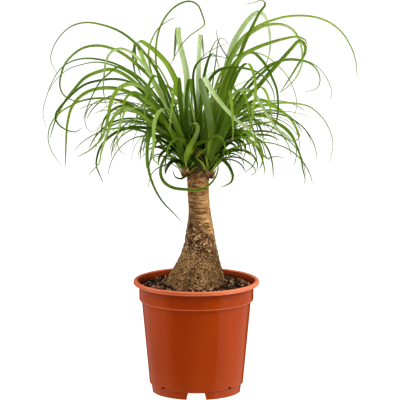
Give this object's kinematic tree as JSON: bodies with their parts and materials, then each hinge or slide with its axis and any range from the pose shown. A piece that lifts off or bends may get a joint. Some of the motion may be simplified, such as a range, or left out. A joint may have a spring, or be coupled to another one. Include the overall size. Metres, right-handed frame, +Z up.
{
  "type": "potted ponytail palm",
  "caption": "Ponytail palm with a swollen corky trunk and three heads of long arching strap leaves, standing in soil in a tapered plastic nursery pot.",
  "frame": {"origin": "on the surface the pot stands on, under the middle of the whole plant, which is the pot's axis", "axes": "+Z up along the pot's axis, -Y towards the front, +X to the right seen from the front"},
  "size_m": [0.4233, 0.3446, 0.5356],
  "materials": {
    "pot_plastic": "satin",
    "potting_soil": "matte",
    "bark": "matte",
    "leaf_left": "satin",
    "leaf_right": "satin",
    "leaf_back": "satin"
  },
  "bodies": {
    "root": {"pot": "pot_plastic", "soil": "potting_soil", "trunk": "bark", "leaf_head_left": "leaf_left", "leaf_head_right": "leaf_right", "leaf_head_back": "leaf_back"}
  },
  "joints": []
}
